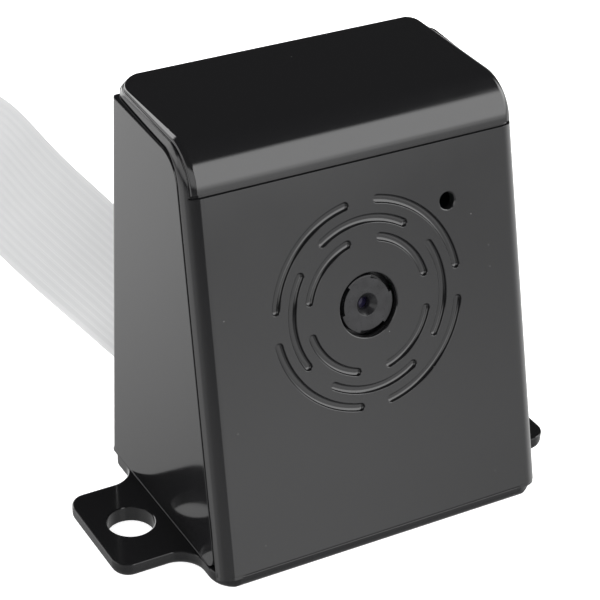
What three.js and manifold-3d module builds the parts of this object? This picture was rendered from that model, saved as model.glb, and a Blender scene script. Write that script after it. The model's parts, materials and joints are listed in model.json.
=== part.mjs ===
// A small wedge-shaped camera case: a front shell with a sloping front, a top plate and a base
// plate with two screw ears, closed from behind by a sliding rear cover. A camera board stands
// behind the front on four posts, and its flat ribbon cable leaves under the back wall.
// Millimetres, +Z up, +Y towards the back. The origin is on the underside, midway between the
// ear hole and the slot opposite.
import * as THREE from "three";
import { mergeVertices } from "three/addons/utils/BufferGeometryUtils.js";
import Module from "manifold-3d";

const wasm = await Module();
wasm.setup();

const RAD = Math.PI / 180;

// ---- Driving dimensions -------------------------------------------------------------------

// Case
const HALF_WIDTH = 22.3; // at the top of the base plate
const HEIGHT = 49.9;
const FRONT_Y = -15.2; // front edge of the base plate
const SLOPE = 15.4 * RAD; // of the front, from vertical
const DRAFT = 1.6 * RAD; // of both sides, from vertical
const BASE_THICK = 2.15;
const WALL = 1; // front wall
const TOP_THICK = 1.3; // where it meets the front wall
const TOP_THICK_BACK = 0.55;
const TOP_BACK = 17.7;
const BASE_BACK = 13.9;
const SEAM_Z = 45.4; // the step between the front panel and the rounded cap
const SEAM_STEP = 0.15;
const CROWN_R = 5.5; // from front to top
const RIM_R = 2.2; // from side to top
const FRONT_EDGE_R = 2.2; // from side to front
const TOP_EDGE_R = 0.3; // along the top plate's back edge
const TOP_UNDER_R = 0.1;
const TOP_CORNER_R = 2.5; // the top plate's back corners, seen from above
const BASE_FRONT_R = 3.5;
const BASE_BACK_R = 1.2;
const BASE_UNDER_R = 1.6; // along the front bottom edge
const LIP = 0.05; // the base plate stands proud of the walls by this much
const GAP = 0.3; // between the shell and the rear cover
const TOP_GAP = 0.2; // between the top plate and the rear cover
const GUIDE_WIDTH = 2; // ribs behind the front wall that steer the rear cover
const GUIDE_LENGTH = 36;
const GUIDE_DEEP = 4.5;

// Ears
const EAR_X = 26.7; // hole centre on the left, slot centre on the right
const EAR_TIP_LEFT = 31.8;
const EAR_TIP_RIGHT = 28.9; // this ear is shorter, so its hole is an open slot
const EAR_HALF = 7.5; // half the ear's length along the case
const EAR_R = 3; // where an ear joins the case
const EAR_CORNER_R = 2.2;
const EAR_HOLE_R = 2.87;

// Front details, as x and height along the slope
const LENS_V = 28.1;
const LENS_HOLE_R = 3.75;
const LED_X = 11.2;
const LED_V = 37.7;
const LED_HOLE_R = 0.95;
const GROOVE_WIDTH = 1.05;
const GROOVE_DEEP = 0.45;
const GROOVE_RINGS = [
  { radius: 12.0, span: 70 * RAD, first: 45 * RAD },
  { radius: 9.9, span: 64 * RAD, first: 0 },
  { radius: 7.8, span: 58 * RAD, first: 45 * RAD },
];

// Rear cover
const COVER_WALL = 1.4;
const COVER_BACK = 15.1; // outside of the back wall at the base
const COVER_LEAN = 0.65 * RAD; // the back wall leans outwards
const COVER_EDGE_R = 1.5;
const CABLE_GATE_HALF = 19;
const CABLE_GATE_TOP = 14.1;

// Camera board and what stands on it: x is across, v runs up the slope, n points out of the front
const BOARD_WIDTH = 25;
const BOARD_HEIGHT = 24;
const BOARD_THICK = 1;
const BOARD_FRONT_N = -6.55;
const LENS_TO_BOARD_FOOT = 9.46;
const POST_X = 10.5;
const POST_PITCH_V = 12.5;
const POST_R = 1.8;
const PIN_R = 0.95;
const PIN_HOLE_R = 1.1;
const BOND = 0.05; // adhesive or solder line between stacked pieces

// Cable
const RIBBON_WIDTH = 16;
const RIBBON_THICK = 0.3;
const STIFFENER_THICK = 0.2;
const STIFFENER_LENGTH = 8;

const BOARD_BACK_N = BOARD_FRONT_N - BOARD_THICK;
const BOARD_FOOT_V = LENS_V - LENS_TO_BOARD_FOOT;
const SMD_N = BOARD_BACK_N - BOND; // where parts on the back of the board begin
const TOP_INSIDE = HEIGHT - TOP_THICK;

// ---- Placing ------------------------------------------------------------------------------

const X = new THREE.Vector3(1, 0, 0);
const Y = new THREE.Vector3(0, 1, 0);
const Z = new THREE.Vector3(0, 0, 1);
const FRONT_NORMAL = new THREE.Vector3(0, -Math.cos(SLOPE), Math.sin(SLOPE));
const BACK_NORMAL = new THREE.Vector3(0, Math.cos(COVER_LEAN), -Math.sin(COVER_LEAN));

const frontY = (z) => FRONT_Y + (z - BASE_THICK) * Math.tan(SLOPE);
// Underside of the top plate, which rises towards the back.
const TOP_FRONT_Y = FRONT_Y + (TOP_INSIDE - BASE_THICK) * Math.tan(SLOPE) + WALL / Math.cos(SLOPE);
const topUnder = (y) =>
  TOP_INSIDE + ((TOP_THICK - TOP_THICK_BACK) * (y - TOP_FRONT_Y)) / (TOP_BACK - TOP_FRONT_Y);
const halfWidth = (z) => HALF_WIDTH - (z - BASE_THICK) * Math.tan(DRAFT);
const coverBackY = (z) => COVER_BACK + z * Math.tan(COVER_LEAN);
const sideNormal = (side) => new THREE.Vector3(side * Math.cos(DRAFT), 0, Math.sin(DRAFT));

// The sloping front's own frame: x across, y up the slope from the base plate, z outwards.
function slopeGroup() {
  const group = new THREE.Group();
  group.position.set(0, FRONT_Y, BASE_THICK);
  group.rotation.x = Math.PI / 2 - SLOPE;
  group.updateMatrix();
  return group;
}
const SLOPE_MATRIX = slopeGroup().matrix;

const basis = (x, y, z, origin = new THREE.Vector3()) =>
  new THREE.Matrix4().makeBasis(x, y, z).setPosition(origin);

// ---- Shapes -------------------------------------------------------------------------------

// A closed outline through corners [x, y, radius], each corner rounded to its radius.
function roundedShape(corners, steps = 6) {
  const at = (i) => new THREE.Vector2(...corners.at(i % corners.length).slice(0, 2));
  const points = [];
  corners.forEach(([, , radius = 0], i) => {
    const corner = at(i);
    if (radius === 0) {
      points.push(corner);
      return;
    }
    const before = at(i - 1).sub(corner).normalize();
    const after = at(i + 1).sub(corner).normalize();
    const half = Math.acos(before.dot(after)) / 2;
    const inward = before.clone().add(after).normalize();
    const centre = inward.multiplyScalar(radius / Math.sin(half)).add(corner);
    const start = before.multiplyScalar(radius / Math.tan(half)).add(corner).sub(centre);
    const end = after.multiplyScalar(radius / Math.tan(half)).add(corner).sub(centre);
    const turn = Math.atan2(start.cross(end), start.dot(end));
    for (let k = 0; k <= steps; k++)
      points.push(start.clone().rotateAround(new THREE.Vector2(), (turn * k) / steps).add(centre));
  });
  return new THREE.Shape(points);
}

const rectangle = (width, height, radius = 0) =>
  roundedShape([
    [-width / 2, -height / 2, radius],
    [width / 2, -height / 2, radius],
    [width / 2, height / 2, radius],
    [-width / 2, height / 2, radius],
  ]);

// A slot with round ends that follows a circle about the origin.
function arcSlot(radius, width, from, to, steps = 10) {
  const shape = new THREE.Shape();
  const half = width / 2;
  const end = (angle, start) =>
    shape.absarc(radius * Math.cos(angle), radius * Math.sin(angle), half, start, start + Math.PI);
  shape.absarc(0, 0, radius + half, from, to, false);
  end(to, to);
  shape.absarc(0, 0, radius - half, to, from, true);
  end(from, from + Math.PI);
  return new THREE.Shape(shape.getPoints(steps).slice(0, -1));
}

// ---- Solids -------------------------------------------------------------------------------

function toSolid(geometry) {
  const bare = geometry.index ? geometry.toNonIndexed() : geometry.clone();
  bare.deleteAttribute("normal");
  bare.deleteAttribute("uv");
  const merged = mergeVertices(bare, 1e-5);
  return new wasm.Manifold(
    new wasm.Mesh({
      numProp: 3,
      vertProperties: merged.attributes.position.array,
      triVerts: new Uint32Array(merged.index.array),
    }),
  );
}

function toGeometry(solid) {
  const mesh = solid.getMesh();
  const geometry = new THREE.BufferGeometry();
  geometry.setAttribute("position", new THREE.BufferAttribute(mesh.vertProperties, 3));
  geometry.setIndex(new THREE.BufferAttribute(mesh.triVerts, 1));
  const flat = geometry.toNonIndexed();
  flat.computeVertexNormals();
  return flat;
}

// An outline pushed along its own +Z from `start`, then placed by a matrix.
function prism(shape, depth, start = 0, matrix = new THREE.Matrix4()) {
  const geometry = new THREE.ExtrudeGeometry(shape, { depth, bevelEnabled: false, curveSegments: 8 });
  geometry.translate(0, 0, start);
  return toSolid(geometry.applyMatrix4(matrix));
}

// A block standing on the height `bottom`, with its middle at (x, y).
function block(width, height, thick, x, y, bottom, radius = 0) {
  const place = new THREE.Matrix4().makeTranslation(x, y, 0);
  return prism(rectangle(width, height, radius), thick, bottom, place);
}

function disc(radius, from, to, x = 0, y = 0, matrix = new THREE.Matrix4(), segments = 32) {
  const geometry = new THREE.CylinderGeometry(radius, radius, to - from, segments);
  geometry.rotateX(Math.PI / 2).translate(x, y, (from + to) / 2);
  return toSolid(geometry.applyMatrix4(matrix));
}

// A closed ring or cap turned about +Z, from points [radius, height].
function turned(points, segments = 40) {
  const profile = points.map(([radius, height]) => new THREE.Vector2(radius, height));
  return new THREE.LatheGeometry(profile, segments).rotateX(Math.PI / 2);
}

// Removes the sharp edge where two faces with outward normals a and b meet, at radius `radius`.
function edgeCutter(point, a, b, radius) {
  const along = a.clone().cross(b).normalize();
  const across = along.clone().cross(a).normalize();
  const shape = new THREE.Shape();
  shape.moveTo(-radius, 0);
  shape.absarc(-radius, -radius, radius, Math.PI / 2, 0, true);
  shape.lineTo(1, -radius);
  shape.lineTo(1, 1);
  shape.lineTo(-radius, 1);
  return prism(shape, 4 * HEIGHT, -2 * HEIGHT, basis(a, across, along, point));
}

// ---- Case outlines ------------------------------------------------------------------------

// The case seen from the front, inset by `inset`: drafted sides and rounded top edges.
function frontView(inset, rim) {
  const low = -10;
  const outline = roundedShape([
    [-halfWidth(low) + inset, low],
    [halfWidth(low) - inset, low],
    [halfWidth(HEIGHT) - inset, HEIGHT, rim],
    [-halfWidth(HEIGHT) + inset, HEIGHT, rim],
  ]);
  return prism(outline, 120, -60, basis(X, Z, Y.clone().negate()));
}

// A section in the Y-Z plane carried across the whole width.
const across = (shape) => prism(shape, 4 * HALF_WIDTH, -2 * HALF_WIDTH, basis(Y, Z, X));

// ---- Front shell --------------------------------------------------------------------------

function basePlate() {
  const side = HALF_WIDTH + LIP;
  const edge = (tip) => [
    [side, FRONT_Y - LIP, BASE_FRONT_R],
    [side, -EAR_HALF, EAR_R],
    [tip, -EAR_HALF, EAR_CORNER_R],
    [tip, EAR_HALF, EAR_CORNER_R],
    [side, EAR_HALF, EAR_R],
    [side, BASE_BACK, BASE_BACK_R],
  ];
  const left = edge(EAR_TIP_LEFT).map(([x, y, radius]) => [-x, y, radius]).reverse();
  const plate = prism(roundedShape([...edge(EAR_TIP_RIGHT), ...left]), BASE_THICK);
  const mouth = new THREE.Shape();
  mouth.moveTo(EAR_TIP_RIGHT + 1, EAR_HOLE_R);
  mouth.lineTo(EAR_X, EAR_HOLE_R);
  mouth.absarc(EAR_X, 0, EAR_HOLE_R, Math.PI / 2, (3 * Math.PI) / 2, false);
  mouth.lineTo(EAR_TIP_RIGHT + 1, -EAR_HOLE_R);
  const under = new THREE.Vector3(0, FRONT_Y - LIP, 0);
  return plate
    .subtract(edgeCutter(under, Y.clone().negate(), Z.clone().negate(), BASE_UNDER_R))
    .subtract(disc(EAR_HOLE_R, -1, BASE_THICK + 1, -EAR_X, 0))
    .subtract(prism(mouth, BASE_THICK + 2, -1));
}

// Front wall and top plate as one bent section, with its foot let into the base plate.
function wallAndTop() {
  const foot = BASE_THICK - LIP;
  const inner = WALL / Math.cos(SLOPE);
  const section = roundedShape([
    [frontY(foot), foot],
    [BASE_BACK - 2, foot],
    [BASE_BACK - 2, BASE_THICK],
    [frontY(BASE_THICK) + inner, BASE_THICK, 1.8],
    [TOP_FRONT_Y, TOP_INSIDE, CROWN_R - WALL],
    [TOP_BACK, topUnder(TOP_BACK), TOP_UNDER_R],
    [TOP_BACK, HEIGHT, TOP_EDGE_R],
    [frontY(HEIGHT) + SEAM_STEP, HEIGHT, CROWN_R],
    [frontY(SEAM_Z) + SEAM_STEP, SEAM_Z],
    [frontY(SEAM_Z), SEAM_Z],
  ]);
  let body = across(section).intersect(frontView(0, RIM_R));
  for (const side of [-1, 1]) {
    const frontCorner = new THREE.Vector3(side * halfWidth(BASE_THICK), FRONT_Y, BASE_THICK);
    const backCorner = new THREE.Vector3(side * halfWidth(HEIGHT), TOP_BACK, HEIGHT);
    body = body
      .subtract(edgeCutter(frontCorner, sideNormal(side), FRONT_NORMAL, FRONT_EDGE_R))
      .subtract(edgeCutter(backCorner, sideNormal(side), Y, TOP_CORNER_R));
  }
  return body;
}

// Ribs behind the front wall's edges that the rear cover's side panels slide over.
function coverGuides() {
  const half = HEIGHT / 2;
  const outside = halfWidth(half) - COVER_WALL - GAP;
  const rib = block(GUIDE_WIDTH, GUIDE_LENGTH, GUIDE_DEEP, 0, half, -WALL / 2 - GUIDE_DEEP);
  const placed = rib.transform(SLOPE_MATRIX.elements);
  const middle = outside - GUIDE_WIDTH / 2;
  const pair = placed.translate([middle, 0, 0]).add(placed.translate([-middle, 0, 0]));
  return pair.intersect(frontView(COVER_WALL + GAP, RIM_R));
}

// Four posts behind the front wall, each with a pin that the board sits on.
function boardPosts() {
  const posts = [];
  for (const side of [-1, 1])
    for (const row of [0, 1]) {
      const v = LENS_V + row * POST_PITCH_V;
      const shoulder = BOARD_FRONT_N + BOND;
      posts.push(disc(POST_R, shoulder, -WALL / 2, side * POST_X, v, SLOPE_MATRIX, 24));
      posts.push(disc(PIN_R, BOARD_BACK_N - 0.8, shoulder + 0.5, side * POST_X, v, SLOPE_MATRIX, 16));
    }
  return posts.reduce((all, post) => all.add(post));
}

function ringGrooves() {
  const grooves = [];
  for (const { radius, span, first } of GROOVE_RINGS)
    for (let k = 0; k < 4; k++) {
      const middle = first + (k * Math.PI) / 2;
      const slot = arcSlot(radius, GROOVE_WIDTH, middle - span / 2, middle + span / 2);
      const place = SLOPE_MATRIX.clone().multiply(new THREE.Matrix4().makeTranslation(0, LENS_V, 0));
      grooves.push(prism(slot, 1 + GROOVE_DEEP, -GROOVE_DEEP, place));
    }
  return grooves.reduce((all, groove) => all.add(groove));
}

function frontShell() {
  const lensHole = disc(LENS_HOLE_R, -WALL - 1, 1, 0, LENS_V, SLOPE_MATRIX, 48);
  const ledHole = disc(LED_HOLE_R, -WALL - 1, 1, LED_X, LED_V, SLOPE_MATRIX, 20);
  const solid = wallAndTop()
    .add(basePlate())
    .add(coverGuides())
    .add(boardPosts())
    .subtract(lensHole)
    .subtract(ledHole)
    .subtract(ringGrooves());
  return toGeometry(solid);
}

// ---- Rear cover ---------------------------------------------------------------------------

function rearCover() {
  const low = BASE_THICK + GAP;
  const high = TOP_INSIDE - TOP_GAP;
  const highBack = topUnder(coverBackY(HEIGHT)) - TOP_GAP;
  const inner = (WALL + GAP) / Math.cos(SLOPE);
  const section = roundedShape([
    [frontY(low) + inner, low, 1.5],
    [coverBackY(low), low, 0.4],
    [coverBackY(highBack), highBack, 0.6],
    [frontY(high) + inner, high, CROWN_R - WALL - GAP],
  ]);
  const hollow = roundedShape([
    [-100, -10],
    [coverBackY(-10) - COVER_WALL, -10],
    [coverBackY(60) - COVER_WALL, 60],
    [-100, 60],
  ]);
  let cover = across(section).intersect(frontView(0, 0));
  for (const side of [-1, 1]) {
    const corner = new THREE.Vector3(side * halfWidth(0), coverBackY(0), 0);
    cover = cover.subtract(edgeCutter(corner, sideNormal(side), BACK_NORMAL, COVER_EDGE_R));
  }
  const cableGate = roundedShape([
    [-CABLE_GATE_HALF, -5],
    [CABLE_GATE_HALF, -5],
    [CABLE_GATE_HALF, CABLE_GATE_TOP, 2],
    [-CABLE_GATE_HALF, CABLE_GATE_TOP, 2],
  ]);
  const gate = prism(cableGate, 40, -40, basis(X, Z, Y.clone().negate())); // behind the middle only
  return toGeometry(
    cover.subtract(across(hollow).intersect(frontView(COVER_WALL, 0))).subtract(gate),
  );
}

// ---- Camera board and module, all in the slope's frame -------------------------------------

function cameraBoard() {
  const middle = BOARD_FOOT_V + BOARD_HEIGHT / 2;
  let board = block(BOARD_WIDTH, BOARD_HEIGHT, BOARD_THICK, 0, middle, BOARD_BACK_N, 1);
  for (const side of [-1, 1])
    for (const row of [0, 1]) {
      const v = LENS_V + row * POST_PITCH_V;
      const hole = disc(PIN_HOLE_R, BOARD_BACK_N - 1, BOARD_FRONT_N + 1, side * POST_X, v, undefined, 20);
      board = board.subtract(hole);
    }
  return toGeometry(board);
}

// Square housing with a round collar and a bore for the barrel, open below over the sensor.
const MODULE_SIDE = 8.5;
const HOLDER_FOOT = -5.4;
const HOLDER_TOP = -2.4;
const COLLAR_TOP = -1.9;
const BORE_R = 3;
const CHAMBER_TOP = -4.4;

function lensHolder() {
  const solid = block(MODULE_SIDE, MODULE_SIDE, HOLDER_TOP - HOLDER_FOOT, 0, LENS_V, HOLDER_FOOT, 0.5)
    .add(disc(4, HOLDER_TOP - 0.5, COLLAR_TOP, 0, LENS_V, undefined, 40))
    .subtract(disc(BORE_R, HOLDER_FOOT - 1, 0, 0, LENS_V, undefined, 40))
    .subtract(block(6.8, 6.8, CHAMBER_TOP - HOLDER_FOOT + 1, 0, LENS_V, HOLDER_FOOT - 1));
  return toGeometry(solid);
}

// The barrel: a head with three notches for the focus tool, a conical mouth and a hollow stem.
const BARREL_FACE = -0.4;
const HEAD_R = 3.4;
const HEAD_FOOT = -1.7;
const STEM_R = 2.9;
const STEM_FOOT = -4.2;
const MOUTH_R = 1.3;
const MOUTH_FOOT = -1.1;
const PUPIL_R = 0.7;
const NOTCH_INNER_R = 3;
const NOTCH_DEEP = 0.9;
const NOTCH_SPAN = 60 * RAD;
const NOTCH_MIDDLES = [46 * RAD, 162 * RAD, 279 * RAD];
const FRONT_LENS_SEAT = -1.8;
const REAR_LENS_SEAT = -3.1;
const FRONT_LENS_R = 1.7;
const REAR_LENS_R = 2.2;
const LENS_PLAY = 0.08;

function lensBarrel() {
  const ring = turned([
    [HEAD_R, HEAD_FOOT],
    [HEAD_R, BARREL_FACE - 0.15],
    [HEAD_R - 0.15, BARREL_FACE],
    [MOUTH_R, BARREL_FACE],
    [PUPIL_R, MOUTH_FOOT],
    [PUPIL_R, FRONT_LENS_SEAT],
    [FRONT_LENS_R + LENS_PLAY, FRONT_LENS_SEAT],
    [FRONT_LENS_R + LENS_PLAY, REAR_LENS_SEAT],
    [REAR_LENS_R + LENS_PLAY, REAR_LENS_SEAT],
    [REAR_LENS_R + LENS_PLAY, STEM_FOOT],
    [STEM_R, STEM_FOOT],
    [STEM_R, HEAD_FOOT],
    [HEAD_R, HEAD_FOOT],
  ]);
  let barrel = toSolid(ring);
  for (const middle of NOTCH_MIDDLES) {
    const notch = new THREE.Shape();
    notch.absarc(0, 0, HEAD_R + 1, middle - NOTCH_SPAN / 2, middle + NOTCH_SPAN / 2, false);
    notch.absarc(0, 0, NOTCH_INNER_R, middle + NOTCH_SPAN / 2, middle - NOTCH_SPAN / 2, true);
    barrel = barrel.subtract(prism(notch, 1 + NOTCH_DEEP, BARREL_FACE - NOTCH_DEEP));
  }
  return toGeometry(barrel).translate(0, LENS_V, 0);
}

// A lens with a domed front and a flat back, its rim standing just behind the seat.
function lens(radius, seat, thick, dome) {
  const back = seat - BOND - thick;
  const points = [[0, back], [radius, back], [radius, seat - BOND - dome]];
  const steps = 5;
  for (let k = 1; k <= steps; k++) {
    const angle = (k / steps) * (Math.PI / 2);
    points.push([radius * Math.cos(angle), seat - BOND - dome + dome * Math.sin(angle)]);
  }
  points.at(-1)[0] = 0;
  return turned(points, 28).translate(0, LENS_V, 0);
}

// Short flex that leaves the module's upper edge and climbs onto the plug.
const PLUG_V = LENS_V + 8.6;
const FLEX_LOW = -5.75;
const FLEX_HIGH = -5.2;
const FLEX_THICK = 0.15;

function moduleFlex() {
  const start = LENS_V + MODULE_SIDE / 2 + BOND;
  const line = [
    [start, FLEX_LOW],
    [start + 0.8, FLEX_LOW],
    [start + 1.8, FLEX_HIGH],
    [PLUG_V + 1.3, FLEX_HIGH],
  ];
  const above = line.map(([v, n]) => [v, n + FLEX_THICK]).reverse();
  const strip = roundedShape([...line, ...above]);
  return toGeometry(prism(strip, 5.6, -2.8, basis(Y, Z, X)));
}

// ---- Cable connector, in the slope's frame ---------------------------------------------------

const FFC_HALF = 10.4;
const FFC_MOUTH_V = BOARD_FOOT_V + 0.4;
const FFC_DEPTH = 5.2;
const FFC_THICK = 2.6;
const RIBBON_N = SMD_N - 1.3;
const SLOT_FRONT_N = RIBBON_N + RIBBON_THICK / 2 + 0.15;
const STIFFENER_N = RIBBON_N - RIBBON_THICK / 2 - BOND; // its face towards the ribbon
const TONGUE_N = STIFFENER_N - STIFFENER_THICK - BOND;
const TONGUE_THICK = 0.3;
const SLOT_BACK_N = TONGUE_N - TONGUE_THICK - 0.1;
const LATCH_LONG = 1.3;
const INSERT = 3.6; // how far the cable reaches into the connector

const SLOT_WIDTH = RIBBON_WIDTH + 0.6;

function ffcConnector() {
  const middle = FFC_MOUTH_V + FFC_DEPTH / 2;
  const body = block(2 * FFC_HALF, FFC_DEPTH, FFC_THICK, 0, middle, SMD_N - FFC_THICK, 0.2);
  const slotLength = 2 * (INSERT + 0.4); // half of it cuts into the housing
  const slot = block(SLOT_WIDTH, slotLength, SLOT_FRONT_N - SLOT_BACK_N, 0, FFC_MOUTH_V, SLOT_BACK_N);
  return toGeometry(body.subtract(slot));
}

// A bar across the mouth with a window for the cable, and a tongue that presses the cable home.
function ffcLatch() {
  const top = FFC_MOUTH_V - 0.1;
  const middle = top - LATCH_LONG / 2;
  const tongueLength = INSERT - 0.4;
  const tongueRoot = 0.4; // how far the tongue is let into the bar
  const tongueMiddle = top + tongueLength / 2 - tongueRoot;
  const backN = SMD_N - FFC_THICK + 0.1;
  const bar = block(2 * FFC_HALF - 0.4, LATCH_LONG, FFC_THICK - 0.4, 0, middle, backN, 0.2);
  const window = block(SLOT_WIDTH, LATCH_LONG + 2, SLOT_FRONT_N - TONGUE_N, 0, middle, TONGUE_N);
  const tongueFoot = TONGUE_N - TONGUE_THICK;
  const tongueWidth = RIBBON_WIDTH - 0.4;
  const tongue = block(tongueWidth, tongueLength, TONGUE_THICK, 0, tongueMiddle, tongueFoot);
  return toGeometry(bar.subtract(window).add(tongue));
}

// ---- Ribbon cable, in the part's frame -------------------------------------------------------

// The cable's middle line: straight out of the connector, a loose bend onto the base plate, out
// under the back wall, then drifting sideways and down to a straight, flat end.
const toPart = (x, v, n) => new THREE.Vector3(x, v, n).applyMatrix4(SLOPE_MATRIX);
const CABLE_START = toPart(0, FFC_MOUTH_V + INSERT, RIBBON_N);
const CABLE_BEND = toPart(0, FFC_MOUTH_V - STIFFENER_LENGTH + INSERT, RIBBON_N);
const CABLE_AFTER_BEND = toPart(0, FFC_MOUTH_V - STIFFENER_LENGTH + INSERT - 1, RIBBON_N);
const CABLE_END_FROM = new THREE.Vector3(-18.1, 128, 0.3);
const CABLE_END = new THREE.Vector3(-18.7, 139, 0.3);
const CABLE_POINTS = [
  [-0.3, -3.6, 7.2],
  [-1.1, -0.6, 4.1],
  [-2.6, 4.5, 3.7],
  [-4.9, 12, 4.8],
  [-6.5, 21, 6],
  [-9.2, 41, 8.2],
  [-13.1, 61, 11.3],
  [-14.3, 80, 12.4],
  [-16.5, 98, 7.6],
  [-17.4, 114, 2.5],
].map((point) => new THREE.Vector3(...point));
const ROLL_MOST = 41 * RAD;

function cablePath() {
  const beforeEnd = CABLE_END_FROM.clone().lerp(CABLE_END, 0.1);
  const path = new THREE.CurvePath();
  path.add(new THREE.LineCurve3(CABLE_START, CABLE_BEND));
  const loose = [CABLE_BEND, CABLE_AFTER_BEND, ...CABLE_POINTS, CABLE_END_FROM, beforeEnd];
  path.add(new THREE.CatmullRomCurve3(loose));
  path.add(new THREE.LineCurve3(beforeEnd, CABLE_END));
  return path;
}

// The cable rolls its right edge up on its way back, then lies flat again.
function cableRoll(y) {
  const rise = THREE.MathUtils.smoothstep(y, 12, 72);
  const fall = THREE.MathUtils.smoothstep(y, 84, 122);
  return ROLL_MOST * rise * (1 - fall);
}

// Position, tangent, side and face of the cable at a share u of its length.
function cableFrame(path, u) {
  const at = path.getPointAt(u);
  const along = path.getTangentAt(u).normalize();
  const side = X.clone().addScaledVector(along, -along.x).normalize();
  side.applyAxisAngle(along, -cableRoll(at.y));
  return { at, along, side, face: side.clone().cross(along) };
}

function ribbonCable() {
  const steps = 96;
  const path = cablePath();
  const geometry = new THREE.BoxGeometry(RIBBON_WIDTH, 1, RIBBON_THICK, 1, steps, 1);
  const position = geometry.attributes.position;
  for (let i = 0; i < position.count; i++) {
    const { at, side, face } = cableFrame(path, position.getY(i) + 0.5);
    at.addScaledVector(side, position.getX(i)).addScaledVector(face, position.getZ(i));
    position.setXYZ(i, at.x, at.y, at.z);
  }
  geometry.computeVertexNormals();
  return geometry;
}

// ---- Materials and meshes ----------------------------------------------------------------------

const material = (color, roughness, metalness = 0) =>
  new THREE.MeshStandardMaterial({ color, roughness, metalness });

function piece(name, geometry, look) {
  const mesh = new THREE.Mesh(geometry, look);
  mesh.name = name;
  return mesh;
}

const blackGloss = () => material(0x151516, 0.12);
const blackSatin = () => material(0x1a1a1b, 0.4);
const glass = () => material(0x39304a, 0.05);
const ceramic = () => material(0x9a7b55, 0.5);
const darkChip = () => material(0x202124, 0.45);
const blueFilm = () => material(0x2a5ca8, 0.35);
const creamPlastic = () => material(0xd4cebc, 0.5);

// Plain blocks on the board: name, [width, height, thickness], [x, v above the lens, foot], look.
const FRONT_FOOT = BOARD_FRONT_N + BOND;
const SENSOR_BASE_THICK = 0.5;
const FILTER_THICK = 0.3;
const CONNECTOR_THICK = 0.55;
const BOARD_BLOCKS = [
  ["foam_pad", [8, 8, 0.45], [0, 0, FRONT_FOOT], () => material(0x2b2b2b, 0.95)],
  ["sensor_base", [MODULE_SIDE, MODULE_SIDE, SENSOR_BASE_THICK],
    [0, 0, HOLDER_FOOT - BOND - SENSOR_BASE_THICK], () => material(0x3c6e48, 0.5)],
  ["image_sensor", [5.6, 4.8, 0.35], [0, 0, HOLDER_FOOT], () => material(0x4a4f66, 0.15, 0.4)],
  ["ir_filter", [6.4, 6.4, FILTER_THICK], [0, 0, CHAMBER_TOP - BOND - FILTER_THICK],
    () => material(0x86b8c4, 0.05)],
  ["flex_plug", [6.2, 2.4, CONNECTOR_THICK], [0, PLUG_V - LENS_V, FLEX_HIGH - BOND - CONNECTOR_THICK],
    darkChip],
  ["flex_socket", [7, 3.1, CONNECTOR_THICK], [0, PLUG_V - LENS_V, FRONT_FOOT], creamPlastic],
  ["status_led", [1.6, 0.8, 0.6], [LED_X, LED_V - LENS_V, FRONT_FOOT], creamPlastic],
];

// Parts soldered on the back of the board: name, [width, height, thickness], [x, v above the lens], look.
const BACK_BLOCKS = [
  ["regulator_1", [2.9, 1.6, 1.1], [-6.2, 10.6], darkChip],
  ["regulator_2", [2.9, 1.6, 1.1], [5.6, 10.6], darkChip],
  ["oscillator", [2.5, 2, 0.75], [-0.4, 8.4], () => material(0xb9b7ae, 0.3, 0.8)],
  ["capacitor_1", [1.6, 0.8, 0.8], [-6.2, 8], ceramic],
  ["capacitor_2", [1.6, 0.8, 0.8], [5.6, 8], ceramic],
  ["capacitor_3", [1, 0.5, 0.5], [-2.9, 5], ceramic],
  ["capacitor_4", [1, 0.5, 0.5], [2.9, 5], ceramic],
  ["resistor_1", [1, 0.5, 0.35], [-0.8, 3], darkChip],
  ["resistor_2", [1, 0.5, 0.35], [1, 3], darkChip],
  ["resistor_3", [1, 0.5, 0.35], [3.4, 12.4], darkChip],
].map(([name, size, [x, v], look]) => [name, size, [x, v, SMD_N - size[2]], look]);

function nearStiffener() {
  const middle = FFC_MOUTH_V + INSERT - STIFFENER_LENGTH / 2;
  const foot = STIFFENER_N - STIFFENER_THICK;
  return toGeometry(block(RIBBON_WIDTH, STIFFENER_LENGTH, STIFFENER_THICK, 0, middle, foot));
}

function boardAssembly() {
  const group = slopeGroup();
  group.add(
    piece("camera_board", cameraBoard(), material(0x1d5b33, 0.45)),
    piece("lens_holder", lensHolder(), blackSatin()),
    piece("lens_barrel", lensBarrel(), blackSatin()),
    piece("front_lens", lens(FRONT_LENS_R, FRONT_LENS_SEAT, 0.9, 0.35), glass()),
    piece("rear_lens", lens(REAR_LENS_R, REAR_LENS_SEAT, 0.8, 0.3), glass()),
    piece("module_flex", moduleFlex(), material(0x8a5a1e, 0.4)),
    piece("ffc_connector", ffcConnector(), creamPlastic()),
    piece("ffc_latch", ffcLatch(), blackSatin()),
    piece("ribbon_near_stiffener", nearStiffener(), blueFilm()),
  );
  for (const [name, [width, height, thick], [x, v, foot], look] of [...BOARD_BLOCKS, ...BACK_BLOCKS])
    group.add(piece(name, toGeometry(block(width, height, thick, x, LENS_V + v, foot)), look()));
  return group;
}

// The far stiffener lies on the cable's last stretch.
function farStiffener() {
  const film = new THREE.BoxGeometry(RIBBON_WIDTH, STIFFENER_LENGTH, STIFFENER_THICK);
  const mesh = piece("ribbon_far_stiffener", film, blueFilm());
  const along = CABLE_END.clone().sub(CABLE_END_FROM).normalize();
  const height = (RIBBON_THICK + STIFFENER_THICK) / 2 + BOND;
  mesh.position.copy(CABLE_END).addScaledVector(along, -STIFFENER_LENGTH / 2).addScaledVector(Z, height);
  mesh.rotation.z = Math.atan2(-along.x, along.y);
  return mesh;
}

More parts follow.
